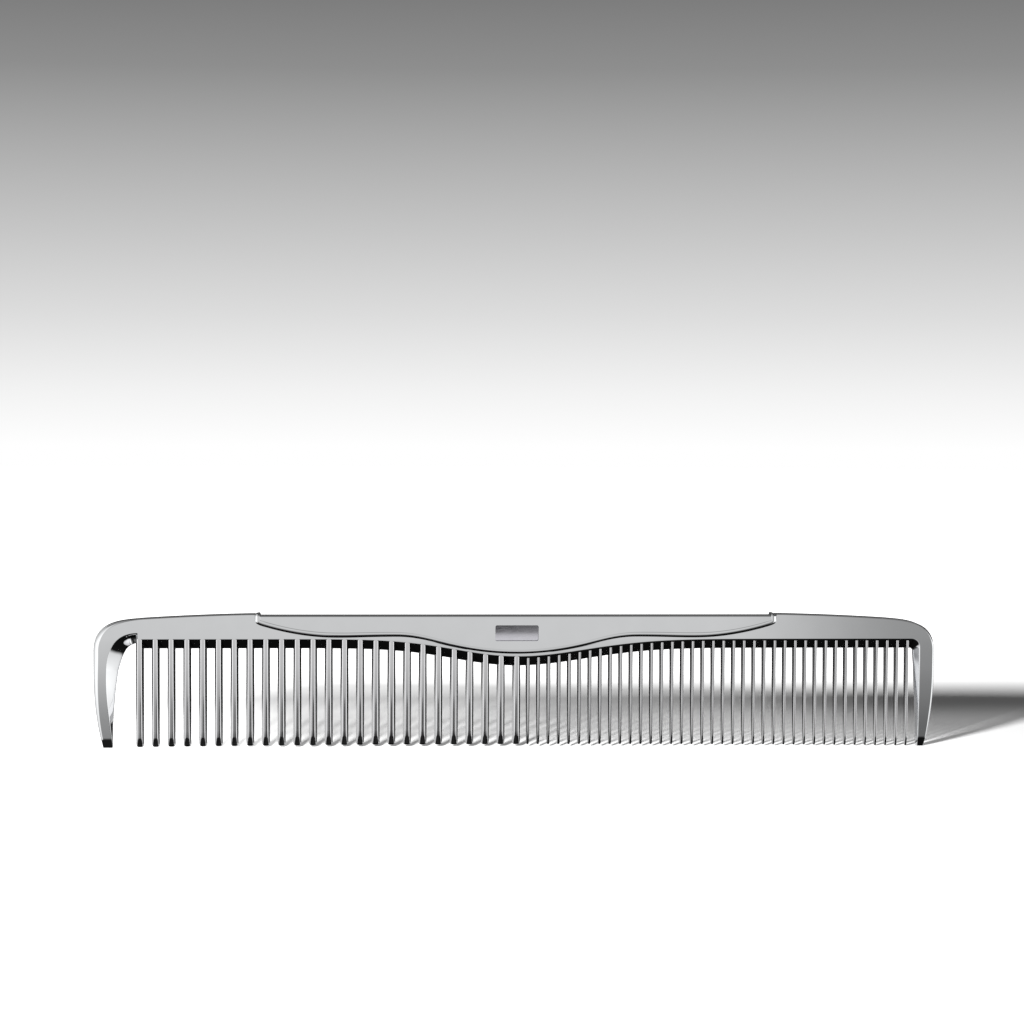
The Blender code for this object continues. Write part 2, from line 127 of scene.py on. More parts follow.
TIP_ZONE = 3.0 * MM             # height over which a tooth changes from tip to shank
TIP_LEVELS = (0.85, 1.1, 1.4, 1.65, 1.9, 2.15)      # sections here, in mm above the foot
SHANK_STEPS = 16                # and this many from there to the root
TOOTH_SHARP = 32.0              # edges bent further than this many degrees stay crisp

# Saddle and plate
SADDLE_EDGE = ((0.0, 21.35), (5.0, 21.35), (9.5, 21.9), (14.0, 22.85),
               (18.0, 23.65), (22.0, 25.15), (27.0, 25.15),
               (34.0, 25.15), (38.0, 24.8), (43.0, 25.0),
               (49.0, 25.3), (54.3, 26.65), (57.4, 27.6),
               (58.5, 28.0), (58.8, 28.2), (58.8, 28.9))
SADDLE_END_X = 58.8 * MM
SADDLE_TOP_Z = 29.85 * MM
SADDLE_WALL = 0.55 * MM
SADDLE_GAP = 0.05 * MM
RECESS_STEP = 0.01 * MM         # run of the wall at each end of the recess for the saddle
PANEL_RISE = 0.30 * MM          # the panel stands this far proud of the bar
BEAD_RISE = 0.34 * MM           # and the bead along its edge this far
BEAD_ROUND = 0.7 * MM           # its rounding towards the panel's edge
BEAD_CREST = 1.0 * MM           # the far side of its flat crest
BEAD_WIDTH = 1.2 * MM
BEAD_THINNING = 0.35            # share by which the bead narrows under the window
BEAD_THIN_X = 24.0 * MM         # and how far that reaches
END_BUMP = 0.5 * MM             # height of the bead where it crosses the top
SADDLE_SINK = 0.3 * MM          # least height of the end bead's bump
SADDLE_ROUND = 0.22 * MM        # radius along the panel's top edge
SADDLE_LEAST = 1.3 * MM         # least height of the panel, at its ends
WINDOW_SIZE = (9.75 * MM, 3.6 * MM)
WINDOW_Z = 25.93 * MM
WINDOW_CORNER = 0.4 * MM
PLATE_ROOM = 0.2 * MM           # play round the plate in the bar's pocket
PLATE_LEAN = 0.16               # slope of the plate's dished front at its top
PLATE_SINK = 0.02 * MM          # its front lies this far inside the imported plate's
EDGE_SHARP = 38.0               # sharp angle, in degrees, of the bar and the saddle
PLATE_SHARP = 40.0


def bezier(points, count):
    """Points along a chain of cubic curves: knot, handle, handle, knot, ..."""
    vectors = [Vector((x, z, 0.0)) * MM for x, z in points]
    result = [vectors[0]]
    for start in range(0, len(vectors) - 1, 3):
        knot, handle, next_handle, next_knot = vectors[start:start + 4]
        result += interpolate_bezier(knot, handle, next_handle, next_knot, count)[1:]
    return [(point.x, point.y) for point in result]


def at(points, t):
    """Point at a share t of a list's steps."""
    place = min(max(t, 0.0), 1.0) * (len(points) - 1)
    i = min(int(place), len(points) - 2)
    f = place - i
    return tuple(a + (b - a) * f for a, b in zip(points[i], points[i + 1]))


def at_height(points, z):
    """Distance from the middle where a rising line passes a height."""
    for (x0, z0), (x1, z1) in zip(points, points[1:]):
        if z <= z1 + 1e-9:
            return x0 + (x1 - x0) * (z - z0) / (z1 - z0)
    return points[-1][0]


def smooth(low, high, value):
    """0 below low, 1 above high, with a soft start and end between."""
    t = min(max((value - low) / (high - low), 0.0), 1.0)
    return t * t * (3.0 - 2.0 * t)


def root_edge(x):
    """Height of the lower edge of the bar's face."""
    width = BELLY_WIDTHS[0] if x < 0 else BELLY_WIDTHS[1]
    return ROOT_Z - BELLY_DROP * math.exp(-(x / width) ** 2)


def top_edge(x):
    """Height of the bar's top, which falls a little towards its ends."""
    past = max(0.0, abs(x) - CROWN_START_X)
    return TOP_Z - CROWN_SLOPE * past - CROWN_CURVE * past * past


def taper(z):
    """Half the thickness at a height, without the tips' bevels."""
    fall = max(0.0, (ROOT_Z - z) / (ROOT_Z - TIP_HEIGHT))
    return HALF_DEPTH - (HALF_DEPTH - TIP_HALF_DEPTH) * min(fall, 1.1) ** TAPER_POWER


def half_depth(z):
    """Half the thickness at a height, with the tips' bevels."""
    bevel = TIP_LAND + (TIP_HALF_DEPTH - TIP_LAND) * max(z, 0.0) / TIP_HEIGHT
    return min(taper(z), bevel)


def blend_corner(before, corner, after, steps):
    """A corner softened with a quadratic curve from before to after."""
    points = []
    for i in range(steps + 1):
        t = i / steps
        points.append(tuple((1 - t) ** 2 * a + 2 * t * (1 - t) * b + t * t * c
                            for a, b, c in zip(before, corner, after)))
    return points


def between(a, b, t):
    """A point at a share t of the way from a to b."""
    return tuple(p + (q - p) * t for p, q in zip(a, b))


def towards(a, b, distance):
    """A point at a distance from a on the way to b, never past the middle."""
    length = math.dist(a, b)
    return between(a, b, min(distance / length, 0.45))


def new_object(name, bm, material, sharp):
    """Puts a mesh in the scene, smooth except at edges sharper than an angle."""
    bmesh.ops.recalc_face_normals(bm, faces=bm.faces)
    mesh = bpy.data.meshes.new(name)
    bm.to_mesh(mesh)
    bm.free()
    mesh.materials.append(material)
    mesh.shade_smooth()
    mesh.set_sharp_from_angle(angle=math.radians(sharp))
    obj = bpy.data.objects.new(name, mesh)
    bpy.context.scene.collection.objects.link(obj)
    return obj


def loft(bm, rings):
    """A closed skin over sections that all have the same number of points."""
    loops = [[bm.verts.new(co) for co in ring] for ring in rings]
    for lower, upper in zip(loops, loops[1:]):
        for i in range(len(lower)):
            j = (i + 1) % len(lower)
            bm.faces.new((lower[i], lower[j], upper[j], upper[i]))
    bm.faces.new(loops[0])
    bm.faces.new(loops[-1])


def rounded_rectangle(width, height, centre_z, radius, steps):
    """Outline of an upright rectangle with rounded corners, centred on the comb."""
    points = []
    for corner in range(4):
        sx = 1 if corner in (0, 3) else -1
        sz = 1 if corner in (0, 1) else -1
        for i in range(steps + 1):
            angle = math.pi / 2 * (corner + i / steps)
            points.append((sx * (width / 2 - radius) + radius * math.cos(angle),
                           centre_z + sz * (height / 2 - radius) + radius * math.sin(angle)))
    return points


def cut_opening(body, outline, front, back):
    """Cuts an opening with an upright outline between two distances in front of the
    comb's middle plane."""
    bm = bmesh.new()
    loft(bm, [[(x, -depth, z) for x, z in outline] for depth in (front, back)])
    cutter = new_object("opening_cutter", bm, body.data.materials[0], EDGE_SHARP)
    cut = body.modifiers.new("Opening", "BOOLEAN")
    cut.operation = "DIFFERENCE"
    cut.solver = "EXACT"
    cut.object = cutter
    depsgraph = bpy.context.evaluated_depsgraph_get()
    mesh = bpy.data.meshes.new_from_object(body.evaluated_get(depsgraph))
    body.modifiers.clear()
    body.data = mesh
    mesh.set_sharp_from_angle(angle=math.radians(EDGE_SHARP))
    bpy.data.objects.remove(cutter, do_unlink=True)


# ---------------------------------------------------------------- bar and guards

EDGE_LINE = bezier(SADDLE_EDGE, 24)


def saddle_lower(x):
    """Height of the saddle's lower edge at a distance from the middle."""
    for (x0, z0), (x1, z1) in zip(EDGE_LINE, EDGE_LINE[1:]):
        if abs(x) <= x1 and x1 > x0:
            return z0 + (z1 - z0) * (abs(x) - x0) / (x1 - x0)
    return EDGE_LINE[-1][1]


# Where a section has points, as shares of the way
TOP_SHARES = (0.0, 0.5, 0.94)               # across half the top
RIM_SHARES = (0.012, 0.03, 0.05)            # down the face, just below its rounded rim
FACE_SHARES = (0.12, 0.25, 0.4, 0.55, 0.7, 0.85)


def frame_ring(outer, inward, face, ridge, radius, recess=None, cove=0.0):
    """A closed cross-section of the bar or a guard. With a recess, the part above
    that height is the narrow core that the saddle straddles. The cove, 0 to 1,
    hollows the bevel between the face and the ridge."""
    core = HALF_DEPTH - SADDLE_WALL - SADDLE_GAP
    depth = core if recess else half_depth(outer[1])
    radius = min(radius, depth * 0.6)
    front = []

    def add(point, y):
        front.append((point[0], -y, point[1]))

    for share in TOP_SHARES:
        add(outer, (depth - radius) * share)
    for i in range(9):
        turn = math.pi / 2 * i / 8
        step = radius * (1.0 - math.cos(turn))
        add((outer[0] + inward[0] * step, outer[1] + inward[1] * step),
            depth - radius + radius * math.sin(turn))
    rim = (outer[0] + inward[0] * radius, outer[1] + inward[1] * radius)
    if recess:
        low = (face[0] + (rim[0] - face[0]) * (recess - face[1]) / (rim[1] - face[1]), recess)
        add(between(rim, low, 0.5), core)
        add(low, core)
        add(low, HALF_DEPTH)
        start = low
    else:
        start = rim
        for share in RIM_SHARES:
            point = between(rim, face, share)
            add(point, half_depth(point[1]))
    plain = 1.0 - 3 * INNER_EDGE / math.dist(start, face)      # above the soft edge
    for share in FACE_SHARES:
        point = between(start, face, share * plain)
        add(point, half_depth(point[1]))
    edge = (face[0], -half_depth(face[1]), face[1])
    keel = (ridge[0], 0.0, ridge[1])
    shoulder = (start[0], -half_depth(start[1]), start[1])
    before = towards(edge, shoulder, INNER_EDGE)
    after = towards(edge, keel, INNER_EDGE)
    front.append(towards(edge, shoulder, 3 * INNER_EDGE))
    front += blend_corner(before, edge, after, 3)
    front.append(towards(edge, keel, 3 * INNER_EDGE))
    bend = between(edge, keel, 0.5 - COVE_SHIFT * cove)
    elbow = (bend[0], bend[1] + (-COVE_DEPTH - bend[1]) * cove, bend[2])
    keel_start = towards(keel, elbow, KEEL_EDGE * (1.0 - COVE_SHARPNESS * cove))
    keel_end = (keel_start[0], -keel_start[1], keel_start[2])
    front.append(between(edge, elbow, 0.6))
    front += blend_corner(towards(elbow, edge, 4 * INNER_EDGE), elbow,
                          towards(elbow, keel, 4 * INNER_EDGE), 3)
    front.append(between(elbow, keel_start, 0.5))
    front += blend_corner(keel_start, keel, keel_end, 8)[:5]
    back = [(x, -y, z) for x, y, z in reversed(front[1:-1])]
    return front + back


def guard_rings(face_side, ridge_side, face_corner, ridge_corner, rounding, fade, coved):
    """Rings up a guard and round its shoulder to the bar."""
    outer, face, ridge = [bezier(side, 48) for side in (OUTER_SIDE, face_side, ridge_side)]
    rings = []
    tip_steps, side_steps = 8, 36
    levels = [TIP_HEIGHT * i / tip_steps for i in range(tip_steps + 1)]
    levels += [TIP_HEIGHT + (GUARD_TOP_Z - TIP_HEIGHT) * i / side_steps
               for i in range(1, side_steps + 1)]
    for z in levels:
        rings.append(frame_ring((at_height(outer, z), z), (-1.0, 0.0),
                                (at_height(face, z), z), (at_height(ridge, z), z),
                                rounding * foot_narrowing(z)))
    upright = bezier(SHOULDER[:4], 24)
    bend = bezier(SHOULDER[3:], 96)
    face = bezier(face_corner, 96)
    ridge = bezier(ridge_corner, 96)
    steps = 90
    for i in range(1, steps + 1):
        t = i / steps
        turned = max(0.0, (t - UPRIGHT_SHARE) / (1.0 - UPRIGHT_SHARE))
        place = at(upright, t / UPRIGHT_SHARE) if t < UPRIGHT_SHARE else at(bend, turned)
        ahead = at(bend, turned + 0.01)
        behind = at(bend, turned - 0.01)
        along = Vector((ahead[0] - behind[0], ahead[1] - behind[1])).normalized()
        inward = (-1.0, 0.0) if turned == 0.0 else (-along.y, along.x)
        radius = rounding + (ROUND_TOP - rounding) * smooth(*fade, turned)
        cove = coved * smooth(COVE_START, COVE_FULL, t)
        rings.append(frame_ring(place, inward, at(face, t), at(ridge, t), radius,
                                cove=cove))
    return rings


def foot_narrowing(z):
    """Share of a guard's rounding at a height: its foot is crisper."""
    return FOOT_ROUNDING + (1.0 - FOOT_ROUNDING) * smooth(0.0, FOOT_FADE, z)


def bar_ring(x, edge_x, saddled):
    """A cross-section of the bar. Its lower edge may stand at another x than its top."""
    edge = root_edge(edge_x)
    top = SADDLE_TOP_Z - SADDLE_WALL - SADDLE_GAP if saddled else top_edge(x)
    return frame_ring((x, top), (0.0, -1.0), (edge_x, edge), (edge_x, edge - KEEL_DROP),
                      ROUND_TOP, saddle_lower(x) if saddled else None)


def build_frame(material):
    """The bar with its two guards, from one foot to the other."""
    coarse = guard_rings(COARSE_FACE, COARSE_RIDGE, COARSE_FACE_CORNER, COARSE_RIDGE_CORNER,
                         ROUND_COARSE_GUARD, COARSE_FADE, 1.0)
    fine = guard_rings(FINE_FACE, FINE_RIDGE, FINE_FACE_CORNER, FINE_RIDGE_CORNER,
                       ROUND_FINE_GUARD, FINE_FADE, 0.0)
    rings = [[(-x, y, z) for x, y, z in ring] for ring in coarse]
    rings.append(bar_ring(ARCH_STEP_RUN - SHOULDER_X, -ARCH_STEP_X, False))
    recess_end = SADDLE_END_X + SADDLE_GAP
    half_recess = recess_end - RECESS_STEP
    outside, inside = 17, 116
    places = [(-SHOULDER_X + (SHOULDER_X - recess_end) * i / outside, False)
              for i in range(1, outside + 1)]
    places += [(-recess_end + RECESS_STEP + 2 * half_recess * i / inside, True)
               for i in range(inside + 1)]
    places += [(recess_end + (SHOULDER_X - recess_end) * i / outside, False)
               for i in range(outside)]
    rings += [bar_ring(x, x, saddled) for x, saddled in places]
    fine.reverse()
    join = [bar_ring(SHOULDER_X, SHOULDER_X, False)] if fine[0][0][0] > SHOULDER_X else []
    rings += join + fine
    bm = bmesh.new()
    loft(bm, rings)
    frame_body = new_object("spine_frame_fine", bm, material, EDGE_SHARP)
    low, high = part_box("name_plate")
    outline = rounded_rectangle(2 * high.x + PLATE_ROOM, high.z - low.z + PLATE_ROOM,
                                (low.z + high.z) / 2, WINDOW_CORNER, 4)
    cut_opening(frame_body, outline, HALF_DEPTH, -high.y - 0.5 * PLATE_ROOM)
    return frame_body


# ---------------------------------------------------------------- teeth

def tooth_ring(x, z, flat, middle, full_depth, depth, set_back, softening):
    """Cross-section of a tooth: a lozenge with blunt, softened front and back. Flat and
    middle are half its widths there, full_depth its half depth without the tip's bevel."""
    depth -= set_back
    full_depth -= set_back
    width = flat + (middle - flat) * (1.0 - depth / full_depth)
    corner = (width, -depth)
    waist = (middle, 0.0)
    edge = softening * min(flat, width)
    quarter = [(0.0, -depth - FRONT_CROWN)]
    for share in (0.35, 0.7):
        quarter.append(((width - edge) * share,
                        -depth - FRONT_CROWN * (1 - share * share)))
    start = (width - edge, -depth)
    quarter += blend_corner(start, corner, towards(corner, waist, edge), 4)
    quarter.append(between(corner, waist, 0.5))
    soft = towards(waist, corner, WAIST_EDGE)
    mirrored = (soft[0], -soft[1])
    quarter += blend_corner(soft, waist, mirrored, 4)[:3]
    half = quarter + [(px, -py) for px, py in reversed(quarter[:-1])]
    ring = half + [(-px, py) for px, py in reversed(half[1:-1])]
    return [(x + px, py, z) for px, py in ring]


def shrink(ring, x, share, z):
    """A tooth's section made smaller about its centre and set at a height."""
    return [(x + (px - x) * share, py * share, z) for px, py, _ in ring]


def tooth_rings(x, foot, flat, middle, tip_scale, set_back, reach, edge):
    """Rings from the rounded tip up to just inside the bar."""
    top = root_edge(x) + reach
    heights = [foot + TIP_ROUND]
    heights += [foot + level * MM for level in TIP_LEVELS]
    last = heights[-1]
    heights += [last + (top - last) * i / SHANK_STEPS for i in range(1, SHANK_STEPS + 1)]
    rings = []
    for z in heights:
        up = (z - foot) / (top - foot)
        width = tip_scale + (1.0 - tip_scale) * up
        full = taper(z)
        bevel = TIP_LAND + (TIP_HALF_DEPTH - TIP_LAND) * (z - foot) / TIP_HEIGHT
        depth = min(full, bevel) if z - foot < TIP_ZONE else full
        soft = TIP_SOFTNESS + (1.0 - TIP_SOFTNESS) * smooth(0.0, TIP_ZONE, z - foot)
        rings.append(tooth_ring(x, z, flat * width, middle * width, full, depth,
                                set_back * up, edge * soft))
    base = rings[0]
    end = []
    for i in range(5):
        turn = math.pi / 2 * i / 5
        end.append(shrink(base, x, TIP_END + (1.0 - TIP_END) * math.sin(turn),
                          foot + TIP_ROUND * (1.0 - math.cos(turn))))
    return end + rings


def tenon(x, last, width, depth, height):
    """Rings of the peg above a tooth's last section, hidden in the bar."""
    z = last[0][2]
    reach_x = max(abs(px - x) for px, _, _ in last)
    reach_y = max(abs(py) for _, py, _ in last)
    return [[(x + (px - x) * width / reach_x, py * depth / reach_y, top)
             for px, py, _ in last] for top in (z, z + height)]


def build_coarse_tooth(node, material):
    """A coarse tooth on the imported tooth's place, with its tenon."""
    low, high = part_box(node)
    x = (low.x + high.x) / 2
    bm = bmesh.new()
    rings = tooth_rings(x, low.z, COARSE_FRONT, COARSE_MIDDLE, 1.0, COARSE_SET_BACK,
                        COARSE_REACH, COARSE_EDGE)
    rings += tenon(x, rings[-1], TENON_HALF_WIDTH, TENON_HALF_DEPTH,
                   high.z - rings[-1][0][2])
    loft(bm, rings)
    return new_object(node + "_fine", bm, material, TOOTH_SHARP)


def build_fine_pair(node, material):
    """Two fine teeth. Their common bridge is hidden in the bar and left out."""
    low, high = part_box(node)
    pitch = (high.x - low.x) - 2 * FINE_MIDDLE
    middle = (low.x + high.x) / 2
    bm = bmesh.new()
    for x in (middle - pitch / 2, middle + pitch / 2):
        rings = tooth_rings(x, low.z, FINE_FRONT, FINE_MIDDLE, FINE_TIP_SCALE,
                            FINE_SET_BACK, FINE_REACH, FINE_EDGE)
        loft(bm, rings)
    return new_object(node + "_fine", bm, material, TOOTH_SHARP)


# ---------------------------------------------------------------- saddle and plate

def edge_distance(x, z):
    """Distance from a point on a side panel to the saddle's lower edge or end."""
    best = abs(SADDLE_END_X - abs(x))
    point = Vector((abs(x), z))
    for a, b in zip(EDGE_LINE, EDGE_LINE[1:]):
        start, end = Vector(a), Vector(b)
        run = end - start
        t = max(0.0, min(1.0, (point - start).dot(run) / run.length_squared))
        best = min(best, (point - start - run * t).length)
    return best


def bead_height(distance):
    """How far the surface stands out at a distance from the saddle's edge."""
    if distance < BEAD_ROUND:
        fall = 1.0 - distance / BEAD_ROUND
        return BEAD_RISE * math.sqrt(max(0.0, 1.0 - fall * fall))
    return BEAD_RISE - (BEAD_RISE - PANEL_RISE) * smooth(BEAD_CREST, BEAD_WIDTH, distance)


def bead_scale(x):
    """The bead's width as a share: it narrows under the window."""
    return 1.0 - BEAD_THINNING * math.exp(-(x / BEAD_THIN_X) ** 2)


def bead_steps():
    """Distances across the bead, from its outer side to the panel."""
    turns = [math.pi / 2 * i / 8 for i in range(9)]
    steps = [BEAD_ROUND * (1 - math.cos(turn)) for turn in turns]
    steps += [BEAD_ROUND + (BEAD_CREST - BEAD_ROUND) * i / 2 for i in (1, 2)]
    steps += [BEAD_CREST + (BEAD_WIDTH - BEAD_CREST) * i / 4 for i in range(1, 5)]
    return steps + [BEAD_WIDTH + 0.1 * MM]


def saddle_columns():
    """Stations along the saddle, close together near its ends."""
    near = bead_steps()
    near += [d * MM for d in (1.5, 1.8, 2.2, 2.8, 3.5)]
    right = [SADDLE_END_X - d for d in near]
    last = right[-1]
    count = 80
    middle = [last - 2 * last * i / count for i in range(1, count)]
    columns = right + middle + [-x for x in reversed(right)]
    return sorted(columns)


SLOPE_STEP = 0.05 * MM                  # run over which the lower edge's slope is taken
MOST_STRETCH = 1.6                      # limit on the bead's height where it climbs
BEAD_SHARE = 0.6                        # most of the panel's height that it may take
PANEL_SHARES = (0.1, 0.3, 0.6, 0.9)     # where the panel above it has points


def build_saddle(material):
    """The cover's shell: its beaded front and back, its top, and the hollow inside."""
    rows = bead_steps()
    inner_y = HALF_DEPTH - SADDLE_WALL
    inner_top = SADDLE_TOP_Z - SADDLE_WALL
    rings = []
    for x in saddle_columns():
        low = min(saddle_lower(x), SADDLE_TOP_Z - SADDLE_LEAST)
        ahead = saddle_lower(abs(x) + SLOPE_STEP)
        slope = (ahead - saddle_lower(abs(x))) / SLOPE_STEP
        stretch = min(math.sqrt(1.0 + slope * slope), MOST_STRETCH)
        end_gap = SADDLE_END_X - abs(x)
        front = []
        top_start = SADDLE_TOP_Z - SADDLE_ROUND
        span = top_start - low
        heights = [low + min(d * stretch, span * BEAD_SHARE * d / rows[-1]) for d in rows]
        last = heights[-1]
        heights += [last + (top_start - last) * t for t in PANEL_SHARES]
        for z in heights:
            out = bead_height(edge_distance(x, z) / bead_scale(x))
            front.append((x, -(HALF_DEPTH + out), z))
        rise = bead_height(end_gap)
        if end_gap < BEAD_CREST:
            bump = max(END_BUMP * rise / BEAD_RISE, SADDLE_SINK)
        else:
            bump = END_BUMP * (rise - PANEL_RISE) / (BEAD_RISE - PANEL_RISE)
        for i in range(7):
            turn = math.pi / 2 * i / 6
            front.append((x, -(HALF_DEPTH + rise - SADDLE_ROUND
                               + SADDLE_ROUND * math.cos(turn)),
                          SADDLE_TOP_Z - SADDLE_ROUND + bump * turn / (math.pi / 2)
                          + SADDLE_ROUND * math.sin(turn)))
        top = front[-1][2]
        front.append((x, -(HALF_DEPTH - SADDLE_ROUND), top))
        front.append((x, -HALF_DEPTH * 0.5, top))
        outside = front + [(x, 0.0, top)] + [(px, -py, pz) for px, py, pz in reversed(front)]
        inside = [(x, inner_y, low), (x, inner_y, inner_top), (x, -inner_y, inner_top),
                  (x, -inner_y, low)]
        rings.append(outside + inside)
    bm = bmesh.new()
    loft(bm, rings)
    saddle = new_object("saddle_cover_fine", bm, material, EDGE_SHARP)
    outline = rounded_rectangle(*WINDOW_SIZE, WINDOW_Z, WINDOW_CORNER, 6)
    cut_opening(saddle, outline, HALF_DEPTH + 2 * PANEL_RISE, HALF_DEPTH - 2 * SADDLE_WALL)
    return saddle


def build_plate(node, material):
    """The blank plate behind the window, dished so that its top leans forward."""
    low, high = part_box(node)
    columns, rows = 40, 16
    front = low.y + PLATE_SINK
    rings = []
    for i in range(columns + 1):
        across = 2 * i / columns - 1
        x = high.x * across
        ring = []
        for j in range(rows + 1):
            up = j / rows
            z = low.z + (high.z - low.z) * up
            dip = 0.5 * PLATE_LEAN * (high.z - low.z) * (1.0 - up * up)
            ring.append((x, front + dip, z))
        ring += [(x, high.y, high.z), (x, high.y, low.z)]
        rings.append(ring)
    bm = bmesh.new()
    loft(bm, rings)
    return new_object(node + "_fine", bm, material, PLATE_SHARP)


# ---------------------------------------------------------------- materials

CLOUD_TONE = 0.975              # brightness of the clouding's darker parts
CLOUD_SPAN = (0.3, 0.7)         # the noise's range that shows
MARK_SPAN = (0.35, 0.75)
GLOSS_SPAN = (0.7, 1.6)         # roughness between and in the marks, as shares
MARK_DETAIL = 6.0
MARK_ROUGHNESS = 0.65
MARK_STRENGTH = 0.06            # of the marks' relief
MARK_HEIGHT = 0.004 * MM


def steel(name, tint, roughness, patch_scale, grain):
    """Polished steel: faint clouding and hairline polishing marks. The grain
    is the number of marks per metre along each axis."""
    material = bpy.data.materials.new(name)
    material.use_nodes = True
    tree = material.node_tree
    nodes, links = tree.nodes, tree.links
    shader = nodes["Principled BSDF"]
    shader.inputs["Metallic"].default_value = 1.0
    place = nodes.new("ShaderNodeTexCoord")

    clouds = nodes.new("ShaderNodeTexNoise")
    clouds.inputs["Scale"].default_value = patch_scale
    clouds.inputs["Detail"].default_value = 4.0
    links.new(place.outputs["Object"], clouds.inputs["Vector"])
    colour = nodes.new("ShaderNodeValToRGB")
    colour.color_ramp.elements[0].position = CLOUD_SPAN[0]
    colour.color_ramp.elements[1].position = CLOUD_SPAN[1]
    colour.color_ramp.elements[0].color = (*[c * CLOUD_TONE for c in tint], 1.0)
    colour.color_ramp.elements[1].color = (*tint, 1.0)
    links.new(clouds.outputs["Fac"], colour.inputs["Fac"])
    links.new(colour.outputs["Color"], shader.inputs["Base Color"])

    stretch = nodes.new("ShaderNodeMapping")
    stretch.inputs["Scale"].default_value = grain
    links.new(place.outputs["Object"], stretch.inputs["Vector"])
    marks = nodes.new("ShaderNodeTexNoise")
    marks.inputs["Scale"].default_value = 1.0
    marks.inputs["Detail"].default_value = MARK_DETAIL
    marks.inputs["Roughness"].default_value = MARK_ROUGHNESS
    links.new(stretch.outputs["Vector"], marks.inputs["Vector"])
    finish = nodes.new("ShaderNodeMapRange")
    finish.inputs["From Min"].default_value = MARK_SPAN[0]
    finish.inputs["From Max"].default_value = MARK_SPAN[1]
    finish.inputs["To Min"].default_value = roughness * GLOSS_SPAN[0]
    finish.inputs["To Max"].default_value = roughness * GLOSS_SPAN[1]
    links.new(marks.outputs["Fac"], finish.inputs["Value"])
    links.new(finish.outputs["Result"], shader.inputs["Roughness"])

    bump = nodes.new("ShaderNodeBump")
    bump.inputs["Strength"].default_value = MARK_STRENGTH
    bump.inputs["Distance"].default_value = MARK_HEIGHT
    links.new(marks.outputs["Fac"], bump.inputs["Height"])
    links.new(bump.outputs["Normal"], shader.inputs["Normal"])
    return material


# ---------------------------------------------------------------- studio

FLOOR_RADIUS = 3.0
BACKDROP_RADIUS = 2.2
BACKDROP_HEIGHT = 1.6
DOME_RADIUS = 6.0

# What the steel reflects, by bearing from the front (right positive) and elevation, in
# degrees. The first three hold brightness by elevation.
ROOM_LEVELS = [(-90.0, 0.004), (-40.0, 0.006), (-12.0, 0.015), (-1.0, 0.03), (4.0, 0.10),
               (45.0, 0.12), (65.0, 0.30), (90.0, 0.42)]
FRONT_LEVELS = [(-60.0, 0.0), (-27.0, 0.02), (-17.0, 0.26), (-14.7, 0.33), (-12.5, 0.47),
                (-10.0, 0.60), (-4.0, 0.69), (8.0, 0.62), (20.0, 0.38), (34.0, 0.12),
                (60.0, 0.08)]
SIDE_LEVELS = [(-60.0, 0.5), (-27.0, 0.8), (-17.0, 1.0), (-10.0, 1.3), (6.0, 1.3),
               (20.0, 0.95), (48.0, 0.6)]
FRONT_REACH = 24.0                      # the grey front reaches this far to either side
FRONT_FADE = (7.5, 12.0)                # and dims to the right between these bearings
FRONT_LOSS = 0.52                       # by this share
SIDES_FOOT = -29.0                      # the white sides: first bearing, last, top
SIDES = ((-109.0, -21.0, 48.0), (21.0, 112.0, 6.0))
SIDES_FADE = (55.0, 100.0)              # they dim outwards between these bearings
SIDES_LOSS = 0.3                        # by this share
REAR_SIDES_LEVEL = 0.6                  # light cards further round: bearings, foot, top
REAR_SIDES = ((-152.0, -109.0, -29.0, 48.0), (118.0, 146.0, -40.0, -9.0))
DARK_LINE_LEVEL = 0.02                  # a dark upright low in the front: the same
DARK_LINE = (-1.2, 3.6, -40.0, -13.3)
BEHIND_LEVEL = 0.62                     # a light card straight behind
BEHIND = (162.5, 166.0)                 # fades in between these bearings
BEHIND_SPAN = (-60.0, -11.0)            # and stands between these elevations

# The sweep's glow by height, in metres: painted light, white at the floor and dimmer above
SWEEP_TOP = 0.45
SWEEP_LEVELS = [(0.0, 1.0), (0.020, 1.0), (0.070, 0.90), (0.145, 0.72), (0.225, 0.56),
                (0.31, 0.40), (0.38, 0.27), (0.45, 0.20)]

# The floor glows by itself, painted light that keeps it white, except in the area where
# the comb's shadow falls. Pairs are where a fade starts and ends, in metres along X or Y.
PAINTED_FLOOR_GLOW = 1.1
SHADE_LEFT = (-0.082, -0.034)
SHADE_RIGHT = (0.21, 0.165)
SHADE_SPAN = (-0.20, 0.145)             # along Y
SHADE_SOFT = 0.045
NEAR_PAINTED_GLOW = 0.15                        # a fainter painted light in that area near the comb, lightening its shadow
NEAR_BACK = (0.095, 0.045)
NEAR_LEFT = (0.01, 0.06)
LEFT_PAINTED_GLOW = 0.42                        # and painted light that fades out to the right, lightening the shadow on the left
LEFT_SPAN = (-0.05, 0.105)
LEFT_START = 0.45                       # share of it there beside the comb
LEFT_FULL = (0.045, 0.09)               # and where it grows to the whole

KEY_PLACE = (-0.094, -0.294, 0.094)
KEY_AIM = (0.0, 0.0, 0.015)
KEY_SIZE = (0.038, 0.045)
KEY_WATTS = 38.0
AIR_LEVEL = 0.10


def stage_object(name, bm, material):
    """Puts a mesh in the scene that isn't part of the comb."""
    mesh = bpy.data.meshes.new(name)
    bm.to_mesh(mesh)
    bm.free()
    mesh.materials.append(material)
    mesh.shade_smooth()
    obj = bpy.data.objects.new(name, mesh)
    bpy.context.scene.collection.objects.link(obj)
    return obj


def shader_tree(name):
    material = bpy.data.materials.new(name)
    material.use_nodes = True
    material.node_tree.nodes.clear()
    return material, material.node_tree


def math_node(tree, operation, *values, clamp=False):
    """Output of a Math node fed by numbers or other outputs."""
    node = tree.nodes.new("ShaderNodeMath")
    node.operation = operation
    node.use_clamp = clamp
    for socket, value in zip(node.inputs, values):
        if isinstance(value, (int, float)):
            socket.default_value = value
        else:
            tree.links.new(value, socket)
    return node.outputs["Value"]


